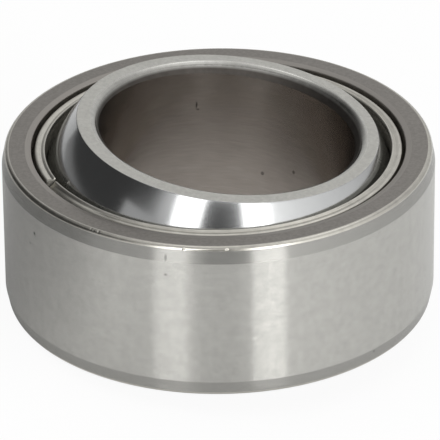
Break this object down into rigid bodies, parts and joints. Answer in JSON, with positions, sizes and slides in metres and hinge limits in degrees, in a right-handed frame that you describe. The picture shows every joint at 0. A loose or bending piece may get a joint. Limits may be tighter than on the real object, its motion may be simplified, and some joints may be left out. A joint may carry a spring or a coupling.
{
  "type": "spherical plain bearing",
  "caption": "Radial spherical plain bearing: an outer ring with a sliding liner swivels on the ball of a bored inner ring.",
  "frame": {"origin": "centre of the ball, which is the middle of the bore", "axes": "+Z along the bore, the outer ring leans towards -X about the Y axis"},
  "size_m": [0.043, 0.042, 0.02],
  "materials": {
    "ball_chrome": "hard chromed and polished on the ball, ground on the faces and in the bore",
    "liner_strip": "steel backed strip with a dark sliding layer",
    "ground_steel": "ground on the outside, turned on the end faces"
  },
  "bodies": {
    "inner_ring": {"inner_ring": "ball_chrome"},
    "outer_ring": {"outer_ring": "ground_steel", "sliding_liner": "liner_strip"}
  },
  "joints": [
    {"name": "outer_ring_tilt", "type": "hinge", "parent": "inner_ring", "child": "outer_ring", "pos_m": [0, 0, 0], "axis": [0, 1, 0], "range_deg": [-1.5, 12.5]}
  ]
}
